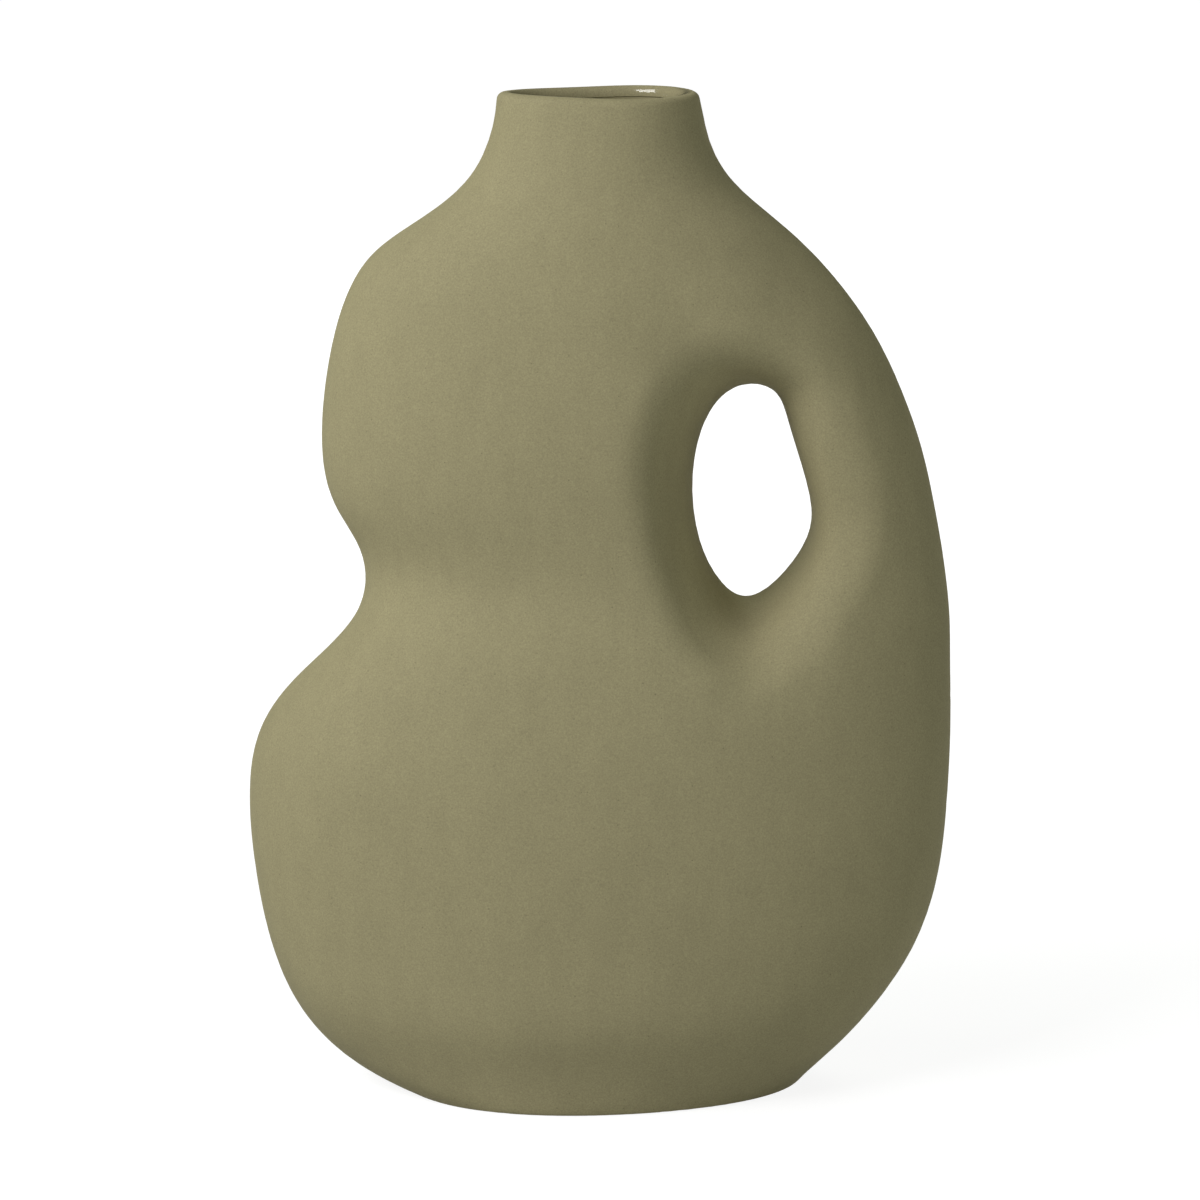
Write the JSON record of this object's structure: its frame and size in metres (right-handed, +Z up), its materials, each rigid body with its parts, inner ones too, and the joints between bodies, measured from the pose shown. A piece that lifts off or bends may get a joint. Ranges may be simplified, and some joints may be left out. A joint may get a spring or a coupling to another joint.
{
  "type": "pillow vase",
  "caption": "Flat-sided stoneware vase with a short neck, a waisted left side and a rounded hand hole through its right side, matt olive outside and glazed inside.",
  "frame": {"origin": "centre of the bounding box on the plane of the foot ring, which is the surface that the vase stands on", "axes": "+Z up through the neck; the vase is widest along X, with the hand hole on the +X side and the waisted side on the -X side; the flat front faces -Y and the back +Y"},
  "size_m": [0.2108, 0.101, 0.3],
  "materials": {
    "stoneware": "matt, fine-grained olive-grey stoneware, unglazed outside",
    "inner_glaze": "thin glossy transparent glaze over the same clay"
  },
  "bodies": {
    "root": {"vase_body": "stoneware", "inner_glaze": "inner_glaze"}
  },
  "joints": []
}
